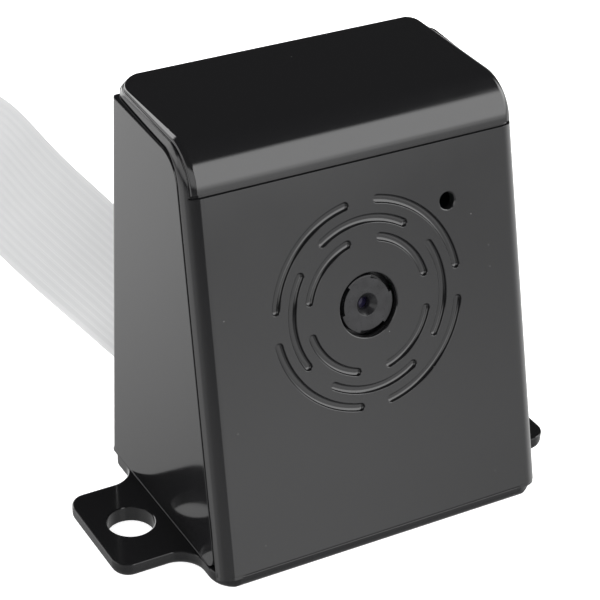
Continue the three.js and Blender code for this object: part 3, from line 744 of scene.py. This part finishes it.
def board_hole(side, row):
    """Where one of the board's four holes is: side -1 or 1, row 0 beside the lens or 1 above it."""
    return SLOPE_TO_PART @ Matrix.Translation((side * BOARD_HOLE_X, LENS_V + row * BOARD_HOLE_PITCH, 0))


def inner_features():
    """Guide ribs, posts and pins behind the front wall."""
    pieces = []
    half = HEIGHT / 2
    middle = half_width(half) - COVER_WALL - GAP - 1
    lean = Matrix.Rotation(DRAFT, 4, "Z")
    for side in (-1, 1):
        outline = rounded([(-1, -18, 0.4), (1, -18, 0.4), (1, 18, 0.4), (-1, 18, 0.4)], 4)
        turned = lean if side > 0 else lean.inverted()
        place = SLOPE_TO_PART @ Matrix.Translation((side * middle, half, 0)) @ turned
        pieces.append(bevel(prism("rib", outline, -5, -0.5, place), 0.12, 2))
        for row in (0, 1):
            profile = [(0, -8.35), (0.8, -8.35), (0.92, -8.2), (0.95, -8.05), (0.95, -6.5), (1.7, -6.5),
                       (1.8, -6.4), (1.8, -1.1), (2.1, -0.8), (2.1, -0.5), (0, -0.5)]
            pieces.append(lathe("post", profile, 48, board_hole(side, row)))
    return pieces


def join(obj, others):
    """Puts other objects' faces in obj's mesh."""
    def take_faces(bm):
        for other in others:
            bm.from_mesh(other.data)
            bpy.data.objects.remove(other)

    return edit_mesh(obj, take_faces)


def front_shell():
    cutters = [hole_cutter(0, LENS_V, LENS_HOLE_R, LENS_HOLE_EDGE),
               hole_cutter(LED_X, LED_V, LED_HOLE_R, LED_HOLE_EDGE, segments=48)]
    for radius, span, first in GROOVE_RINGS:
        for k in range(GROOVES_A_RING):
            middle = (first + 360 / GROOVES_A_RING * k) * RAD
            half = (span / 2) * RAD
            cutters.append(groove_cutter(radius, middle - half, middle + half))
    loops = [section_loop(station) for station in shell_section()]
    shell = boolean(skin("front_shell_skin", loops), cutters)
    shell.name = "front_shell_fine"
    join(shell, [base_plate()] + inner_features())
    return finish_piece(shell, "front_case", BLACK, ("front_shell",), 20)


# ---- Rear cover ----


def rear_cover():
    """The case's section cut to the side and back walls, hollowed, with a gate for the cable."""
    low = BASE_THICK + FOOT_GAP
    high = HEIGHT - TOP_THICK - TOP_GAP
    high_back = HEIGHT - top_thickness(cover_back_y(HEIGHT)) - TOP_GAP
    inner = (RIM_DEPTH + FRONT_GAP) / math.cos(SLOPE)
    section = rounded([(front_y(low) + inner, low, 1.5), (cover_back_y(low), low, 0.4),
                       (cover_back_y(high_back), high_back, 0.6),
                       (front_y(high) + inner, high, CROWN_R - TOP_THICK - TOP_GAP)], 20)
    cover = prism("rear_cover_fine", section, -40, 40, FROM_SIDE)

    def walls(inset, radius, reach, levels):
        outlines = []
        for z, flare in levels:
            half = half_width(z) - inset + flare
            back = cover_back_y(z) - reach + flare
            corners = [(-half, -60, 0), (half, -60, 0), (half, back, radius), (-half, back, radius)]
            outlines.append((rounded(corners, 20), z))
        return outlines

    foot_levels = [(-5, FOOT_BEAD), (low + 0.08, FOOT_BEAD), (low + 0.08 + FOOT_BEAD, 0), (60, 0)]
    outside = loft("cover_outside", walls(0, COVER_EDGE_R, 0, foot_levels))
    hollow = loft("cover_hollow", walls(COVER_WALL, 0.3, COVER_WALL, [(-6, 0), (61, 0)]))
    gate_outline = rounded([(-CABLE_GATE_HALF, -5, 0), (CABLE_GATE_HALF, -5, 0),
                            (CABLE_GATE_HALF, CABLE_GATE_TOP, CABLE_GATE_R),
                            (-CABLE_GATE_HALF, CABLE_GATE_TOP, CABLE_GATE_R)], 16)
    gate = prism("gate", gate_outline, -40, 0, Matrix.Rotation(math.pi / 2, 4, "X"))
    boolean(cover, [outside], "INTERSECT")
    boolean(cover, [hollow, gate])
    bevel(cover, 0.07, 3)
    return finish_piece(cover, "back_cover", BLACK, ("rear_cover",))


# ---- Lens barrel and lenses ----

NOTCH_INNER_R = 3.0
NOTCH_DEEP = 0.9
BARREL_FACE = -0.4
NOTCH_HALF = 30 * RAD
NOTCH_MIDDLES = [46 * RAD, 162 * RAD, 279 * RAD]


def notch_lift(radius, height, angle):
    """How far a point on the barrel's head sinks into a notch."""
    if radius < NOTCH_INNER_R + 0.02 or height < BARREL_FACE - 0.5:
        return 0.0
    nearest = min(abs((angle - m + math.pi) % (2 * math.pi) - math.pi) for m in NOTCH_MIDDLES)
    share = max(0.0, min(1.0, (NOTCH_HALF - nearest) / (1.2 * RAD)))
    return -NOTCH_DEEP * share


def lens_barrel():
    """The barrel, with a conical mouth, seats for both lenses and three notches in its head."""
    face, bead = BARREL_FACE, 0.12
    profile = [(3.4, -1.7), (3.4, -1.4), (3.4, face - bead)]
    for k in range(1, 7):
        turn = math.pi / 2 * k / 6
        profile.append((3.4 - bead * (1 - math.cos(turn)), face - bead * (1 - math.sin(turn))))
    profile += [(3.12, face), (3.05, face), (3.01, face), (2.95, face), (2.2, face), (1.4, face)]
    for k in range(1, 6):
        turn = math.pi / 4 * k / 5
        profile.append((1.38 - 0.1 * math.sin(turn), face - 0.1 * (1 - math.cos(turn))))
    profile += [(0.74, -1.06), (0.7, -1.12), (0.7, -1.8), (1.78, -1.8), (1.78, -3.1),
                (2.28, -3.1), (2.28, -4.2), (2.8, -4.2), (2.9, -4.1), (2.9, -1.7)]
    place = SLOPE_TO_PART @ Matrix.Translation((0, LENS_V, 0))
    barrel = lathe("lens_barrel_fine", profile, 240, place, notch_lift)
    return finish_piece(barrel, "focus_barrel", SATIN, ("lens_barrel",), 40)


def fine_lens(name, node, radius, seat, thick, dome):
    """A lens whose front bulges by dome, just behind a seat in the barrel."""
    back = seat - 0.05 - thick
    profile = [(0, back), (radius - 0.05, back), (radius, back + 0.05), (radius, seat - 0.05 - dome)]
    for k in range(1, 13):
        angle = math.pi / 2 * k / 12
        r = radius * math.cos(angle) if k < 12 else 0
        profile.append((r, seat - 0.05 - dome + dome * math.sin(angle)))
    place = SLOPE_TO_PART @ Matrix.Translation((0, LENS_V, 0))
    return finish_piece(lathe(name, profile, 96, place), "focus_barrel", GLASS, (node,))


# ---- Ribbon cable ----

CONNECTOR_FOOT_V = LENS_V - 9.46
SMD_N = -7.6
RIBBON_N = SMD_N - 1.3
MOUTH_V = CONNECTOR_FOOT_V + 0.4
INSERT = 3.6
STIFFENER_LENGTH = 8.0
CABLE_END_FROM = Vector((-18.1, 128, 0.3))
CABLE_END = Vector((-18.7, 139, 0.3))
CABLE_POINTS = [(-0.3, -3.6, 7.2), (-1.1, -0.6, 4.1), (-2.6, 4.5, 3.7), (-4.9, 12, 4.8), (-6.5, 21, 6),
                (-9.2, 41, 8.2), (-13.1, 61, 11.3), (-14.3, 80, 12.4), (-16.5, 98, 7.6), (-17.4, 114, 2.5)]
ROLL_MOST = 41 * RAD


def catmull(points, samples=24):
    """Centripetal Catmull-Rom curve through points, as a dense polyline."""
    line = []
    for i in range(len(points) - 1):
        p1, p2 = points[i], points[i + 1]
        p0 = points[i - 1] if i else p1 + (p1 - p2)
        p3 = points[i + 2] if i + 2 < len(points) else p2 + (p2 - p1)
        d0, d1, d2 = [math.sqrt(max(1e-8, (b - a).length)) for a, b in ((p0, p1), (p1, p2), (p2, p3))]
        m1 = ((p1 - p0) / d0 - (p2 - p0) / (d0 + d1) + (p2 - p1) / d1) * d1
        m2 = ((p2 - p1) / d1 - (p3 - p1) / (d1 + d2) + (p3 - p2) / d2) * d1
        for k in range(samples):
            t = k / samples
            line.append(p1 * (2 * t ** 3 - 3 * t ** 2 + 1) + m1 * (t ** 3 - 2 * t ** 2 + t)
                        + p2 * (-2 * t ** 3 + 3 * t ** 2) + m2 * (t ** 3 - t ** 2))
    return line + [points[-1]]


def smoothstep(value, low, high):
    t = max(0.0, min(1.0, (value - low) / (high - low)))
    return t * t * (3 - 2 * t)


def cable_line(steps):
    """Evenly spaced points along the cable's middle line."""
    start = on_slope(0, MOUTH_V + INSERT, RIBBON_N)
    bend = on_slope(0, MOUTH_V - STIFFENER_LENGTH + INSERT, RIBBON_N)
    after = on_slope(0, MOUTH_V - STIFFENER_LENGTH + INSERT - 1, RIBBON_N)
    before_end = CABLE_END_FROM.lerp(CABLE_END, 0.1)
    loose = catmull([bend, after] + [Vector(p) for p in CABLE_POINTS] + [CABLE_END_FROM, before_end])
    line = [start] + loose + [CABLE_END]
    lengths = [0.0]
    for a, b in zip(line, line[1:]):
        lengths.append(lengths[-1] + (b - a).length)
    points, k = [], 0
    for i in range(steps + 1):
        want = lengths[-1] * i / steps
        while k < len(line) - 2 and lengths[k + 1] < want:
            k += 1
        share = (want - lengths[k]) / (lengths[k + 1] - lengths[k])
        points.append(line[k].lerp(line[k + 1], share))
    return points


CONDUCTORS = 15  # one to a millimetre
CONDUCTOR_RISE = 0.03
RIBBON_EDGE_THINNER = 0.1  # on each face, at the cable's two long edges
ROLL_RISE = (12, 72)  # places in Y between which the cable's roll grows
ROLL_FALL = (84, 122)  # places in Y between which it goes again


def ribbon():
    """The cable, with low ridges over its conductors. The attribute across tells the film where they are."""
    steps, columns = 360, CONDUCTORS * 8
    line = cable_line(steps)
    half = RIBBON_WIDTH / 2
    across, loops = [], []
    for i, point in enumerate(line):
        along = (line[min(i + 1, steps)] - line[max(i - 1, 0)]).normalized()
        side = (Vector((1, 0, 0)) - along * along.x).normalized()
        roll = ROLL_MOST * smoothstep(point.y, *ROLL_RISE) * (1 - smoothstep(point.y, *ROLL_FALL))
        side = Matrix.Rotation(-roll, 3, along) @ side
        face = side.cross(along)
        loop = []
        for sign in (1, -1):
            for k in range(columns + 1):
                share = k / columns if sign > 0 else 1 - k / columns
                x = -half + RIBBON_WIDTH * share
                track = (x + 0.5 * CONDUCTORS) % 1.0
                inside = abs(x) < CONDUCTORS / 2
                ridge = max(0.0, math.cos((track - 0.5) * 2 * math.pi)) ** 0.5
                thick = RIBBON_THICK / 2 - CONDUCTOR_RISE + (CONDUCTOR_RISE * ridge if inside else 0)
                if k in (0, columns):
                    thick = RIBBON_THICK / 2 - RIBBON_EDGE_THINNER
                loop.append(point + side * x + face * (sign * thick))
                across.append(track if inside else 0.0)
        loops.append(loop)
    obj = skin("ribbon_cable_fine", loops)
    attribute = obj.data.attributes.new("across", "FLOAT", "POINT")
    attribute.data.foreach_set("value", across)
    return finish_piece(obj, "front_case", FILM, ("ribbon_cable",))


# ---- Board parts: the CAD solids with their edges rounded, and the small metal that goes with them ----

# CAD node: its look, its slot and the rounding of its edges
BOARD_PARTS = {
    "camera_board": (MASK, "board_green", 0.08), "foam_pad": (FOAM, "foam", 0.12),
    "sensor_base": (MASK, "board_green", 0.05), "image_sensor": (SILICON, "silicon", 0.03),
    "ir_filter": (FILTER, "filter_glass", 0.04), "lens_holder": (SATIN, "satin_black", 0.12),
    "module_flex": (AMBER, "flex_amber", 0.03), "flex_plug": (CHIP, "chip_black", 0.08),
    "flex_socket": (CREAM, "cream_plastic", 0.08), "status_led": (CREAM, "cream_plastic", 0.08),
    "ffc_connector": (CREAM, "cream_plastic", 0.08), "ffc_latch": (SATIN, "satin_black", 0.06),
    "ribbon_near_stiffener": (BLUE, "film_blue", 0.03), "ribbon_far_stiffener": (BLUE, "film_blue", 0.03),
    "oscillator": (STEEL, "can_steel", 0.1), "regulator_1": (CHIP, "chip_black", 0.08),
    "regulator_2": (CHIP, "chip_black", 0.08), "capacitor_1": (CERAMIC, "ceramic_tan", 0.07),
    "capacitor_2": (CERAMIC, "ceramic_tan", 0.07), "capacitor_3": (CERAMIC, "ceramic_tan", 0.05),
    "capacitor_4": (CERAMIC, "ceramic_tan", 0.05), "resistor_1": (CHIP, "chip_black", 0.04),
    "resistor_2": (CHIP, "chip_black", 0.04), "resistor_3": (CHIP, "chip_black", 0.04),
}


def refine(node, material, width):
    """A copy of a CAD solid with rounded edges, standing for it."""
    source = frame["nodes"][node]
    vertices = [v.co / MM for v in source.data.vertices]
    faces = [tuple(p.vertices) for p in source.data.polygons]
    obj = plain_object(node + "_fine", vertices, faces)
    edit_mesh(bevel(obj, width, 3, 40), face_outwards)
    return finish_piece(obj, source["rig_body"], material, (node,))


def slope_block(name, centre, size, width=0.04):
    """A small block with rounded edges, square to the slope frame. Centre and size are (x, v, n)."""
    hx, hv, hn = [s / 2 for s in size]
    outline = [(-hx, -hv), (hx, -hv), (hx, hv), (-hx, hv)]
    block = prism(name, outline, -hn, hn, SLOPE_TO_PART @ Matrix.Translation(centre))
    return bevel(block, width, 2)


def slope_box(node):
    """Lowest and highest corner of a CAD node in the slope frame."""
    inverse = SLOPE_TO_PART.inverted()
    points = [inverse @ (v.co / MM) for v in frame["nodes"][node].data.vertices]
    low = Vector([min(p[i] for p in points) for i in range(3)])
    high = Vector([max(p[i] for p in points) for i in range(3)])
    return low, high


def group(name, parts, material):
    """Many small parts of the front case as one piece."""
    first = parts[0]
    join(first, parts[1:])
    first.name = name
    return finish_piece(first, "front_case", material)


LEG_PITCH = 0.95


def small_metal():
    """The connector's contacts, the chips' end caps, the regulators' legs and rings at the board's holes."""
    contacts = []
    for k in range(CONDUCTORS):
        x = k - (CONDUCTORS - 1) / 2
        contacts.append(slope_block("contact", (x, MOUTH_V + 2.6, SMD_N - 2.25), (0.3, 2.9, 0.12), 0.03))
        contacts.append(slope_block("contact", (x, MOUTH_V + 5.5, SMD_N - 0.12), (0.3, 1.3, 0.14), 0.03))
    group("connector_contacts", contacts, GOLD)
    caps = []
    chips = [f"capacitor_{k}" for k in (1, 2, 3, 4)] + [f"resistor_{k}" for k in (1, 2, 3)]
    for node in chips:
        low, high = slope_box(node)
        size, middle = high - low, (low + high) / 2
        for side in (-1, 1):
            x = middle.x + side * (size.x / 2 - size.x * 0.1)
            cap_size = (size.x * 0.24, size.y + 0.05, size.z + 0.05)
            caps.append(slope_block("cap", (x, middle.y, middle.z), cap_size))
    group("chip_end_caps", caps, SOLDER)
    legs = []
    for node in ("regulator_1", "regulator_2"):
        low, high = slope_box(node)
        for k in (-1, 0, 1):
            x = (low.x + high.x) / 2 + k * LEG_PITCH
            for v in (low.y - 0.3, high.y + 0.3):
                legs.append(slope_block("leg", (x, v, SMD_N - 0.1), (0.35, 0.75, 0.14), 0.03))
    group("regulator_legs", legs, SOLDER)
    rings = []
    for side in (-1, 1):
        for row in (0, 1):
            profile = [(1.12, -7.56), (1.9, -7.56), (1.9, -7.58), (1.86, -7.6), (1.16, -7.6), (1.12, -7.58)]
            rings.append(lathe("ring", profile, 48, board_hole(side, row)))
    group("board_hole_rings", rings, GOLD)


# ---- Stage, light and camera ----

FLOOR_HALF = 2.0  # metres, as is the next
FLOOR_Z = -0.0002
FLOOR_LIGHT = 1.6
STEEP_FLOOR_LIGHT = 0.35
FLOOR_FADE = (-44, -18)  # elevations between which the floor light rises
HORIZON_FADE = (-11, 0)  # elevations between which it falls again
HORIZON_SHARE = 0.74
FRONT_RIGHT = (147, 156)  # azimuths between which the light in front rises to its full strength
FRONT_RIGHT_SHARE = 0.76
FRONT_FADE = (100, 130)  # azimuths, either way, between which the front takes over from the back
CEILING_LIGHT = 0.024
CEILING_FADE = (-1, 8)  # elevations between which the floor gives way to the ceiling
DIFFUSE_FILL = 0.5  # extra light that only matt surfaces get
RIPPLE = 8.0  # waviness of the soft lights' edges, in degrees
RIPPLE_SCALE = 7.0
# (elevations, softness below and above, azimuths, softness, strength), in degrees; azimuth 0 is behind
# the part, 90 to its right
SOFT_LIGHTS = [
    ((5, 52), (6.5, 3), (75, 179), 6, 4.0),
    ((6, 39), (5, 4), (-17, 11), 4, 4.6),
    ((8, 31), (6, 4), (-70, -17), 5, 2.4),
    ((10, 44), (6, 4), (-172, -70), 5, 1.8),
    ((-26, 6), (4, 4), (-190, -94), 6, -0.7),
    ((-20, -9.8), (3, 1.4), (120, 190), 6, -0.16),
]


def world_light():
    """A pale studio: light below, soft lights all round, a dark ceiling. The camera sees plain white."""
    world = bpy.data.worlds.new("studio")
    bpy.context.scene.world = world
    n = Nodes(world)
    add, calc = n.add, n.math

    def step(value, low, high, start=0.0, end=1.0):
        return n.ramp(value, low, high, start, end, "SMOOTHSTEP")

    def between(value, low, high, soft_low, soft_high):
        """1 from low to high and 0 outside, with soft ends."""
        rise = step(value, low - soft_low, low + soft_low)
        return calc("MULTIPLY", rise, step(value, high - soft_high, high + soft_high, 1.0, 0.0))

    direction = n.coordinates["Generated"]
    split = add("ShaderNodeSeparateXYZ", {"Vector": direction})
    x, y, z = split.outputs
    elevation = calc("MULTIPLY", calc("ARCSINE", z), 180 / math.pi)
    azimuth = calc("MULTIPLY", calc("ARCTAN2", x, y), 180 / math.pi)  # 0 at the back, + to the right
    floor = step(elevation, *FLOOR_FADE, STEEP_FLOOR_LIGHT, FLOOR_LIGHT)
    floor = calc("MULTIPLY", floor, step(elevation, *HORIZON_FADE, 1.0, HORIZON_SHARE))
    right = step(azimuth, *FRONT_RIGHT, FRONT_RIGHT_SHARE, 1.0)
    towards_front = step(calc("ABSOLUTE", azimuth), *FRONT_FADE)
    floor = calc("MULTIPLY", floor, add("ShaderNodeMix", {0: towards_front, 2: 1.0, 3: right}).outputs[0])
    ceiling = step(elevation, *CEILING_FADE)
    total = add("ShaderNodeMix", {0: ceiling, 2: floor, 3: CEILING_LIGHT}).outputs[0]
    ripple = add("ShaderNodeTexNoise", {"Vector": direction, "Scale": RIPPLE_SCALE}).outputs["Fac"]
    ripple = calc("MULTIPLY", calc("SUBTRACT", ripple, 0.5), RIPPLE)
    wavy = calc("ADD", elevation, ripple)
    for elevations, soft_ends, azimuths, soft_side, strength in SOFT_LIGHTS:
        band = between(wavy, *elevations, *soft_ends)
        light = calc("MULTIPLY", band, between(azimuth, *azimuths, soft_side, soft_side))
        total = calc("ADD", total, calc("MULTIPLY", light, strength))
    path = add("ShaderNodeLightPath")
    fill = calc("MULTIPLY", path.outputs["Is Diffuse Ray"], DIFFUSE_FILL)
    total = calc("MAXIMUM", calc("ADD", total, fill), 0.0)
    background = add("ShaderNodeBackground", {"Strength": total, "Color": rgb(1, 1, 1)})
    plain = add("ShaderNodeBackground", {"Strength": 1.0, "Color": rgb(1, 1, 1)})
    mix = add("ShaderNodeMixShader", {0: path.outputs["Is Camera Ray"], 1: background.outputs[0],
                                      2: plain.outputs[0]})
    add("ShaderNodeOutputWorld", {"Surface": mix.outputs[0]})


def stage():
    corners = [(x * FLOOR_HALF, y * FLOOR_HALF, FLOOR_Z) for x, y in ((-1, -1), (1, -1), (1, 1), (-1, 1))]
    floor = plain_object("floor", corners, [(0, 1, 2, 3)])
    floor.data.materials.append(pale_floor())
    floor.visible_glossy = False


# Camera fitted to the view: position in millimetres, angles in degrees, focal length in image widths.
CAMERA_AT = (-104.117, -166.822, 145.505)
CAMERA_YAW = 29.2165
CAMERA_PITCH = 40.8842
CAMERA_ROLL = 1.5971
CAMERA_FOCAL = 3.228
CAMERA_SHIFT = (0.09423, 0.53606)
SHIFT_FADE = 0.02  # metres
SENSOR_WIDTH = 36
CLIP_START = 0.005  # metres


def shift_lens_near(obj, data, channel, shift, distance):
    """Shifts the camera's lens within this distance of the case. A camera moved further off is centred."""
    curve = data.driver_add(channel)
    curve.driver.type = "AVERAGE"
    variable = curve.driver.variables.new()
    variable.type = "LOC_DIFF"
    variable.targets[0].id = obj
    variable.targets[1].id = bpy.data.objects["front_shell_fine"]
    while curve.modifiers:
        curve.modifiers.remove(curve.modifiers[0])
    curve.keyframe_points.add(2)
    for key, at, value in zip(curve.keyframe_points, (distance, distance + SHIFT_FADE), (shift, 0.0)):
        key.co = (at, value)
        key.interpolation = "LINEAR"
    curve.extrapolation = "CONSTANT"
    curve.update()


def camera():
    yaw, pitch, roll = [a * RAD for a in (CAMERA_YAW, CAMERA_PITCH, CAMERA_ROLL)]
    forward = Vector((math.sin(yaw) * math.cos(pitch), math.cos(yaw) * math.cos(pitch), -math.sin(pitch)))
    right = Vector((math.cos(yaw), -math.sin(yaw), 0))
    up = right.cross(forward)
    tilted_right = right * math.cos(roll) + up * math.sin(roll)
    tilted_up = up * math.cos(roll) - right * math.sin(roll)
    data = bpy.data.cameras.new("camera")
    data.sensor_width = SENSOR_WIDTH
    data.lens = CAMERA_FOCAL * SENSOR_WIDTH
    data.clip_start = CLIP_START
    obj = bpy.data.objects.new("camera", data)
    bpy.context.scene.collection.objects.link(obj)
    place = Matrix((tilted_right, tilted_up, -forward)).transposed().to_4x4()
    place.translation = Vector(CAMERA_AT) * MM
    obj.matrix_world = place
    bpy.context.scene.camera = obj
    for channel, shift in zip(("shift_x", "shift_y"), CAMERA_SHIFT):
        shift_lens_near(obj, data, channel, shift, place.translation.length + SHIFT_FADE)


front_shell()
rear_cover()
lens_barrel()
fine_lens("front_lens_fine", "front_lens", radius=1.7, seat=-1.8, thick=0.9, dome=0.35)
fine_lens("rear_lens_fine", "rear_lens", radius=2.2, seat=-3.1, thick=0.8, dome=0.3)
ribbon()
for part, (look, slot_name, edge_width) in BOARD_PARTS.items():
    refine(part, look, edge_width)
small_metal()
stage()
world_light()
camera()
bpy.context.scene.view_settings.view_transform = "Standard"

bpy.context.view_layer.update()
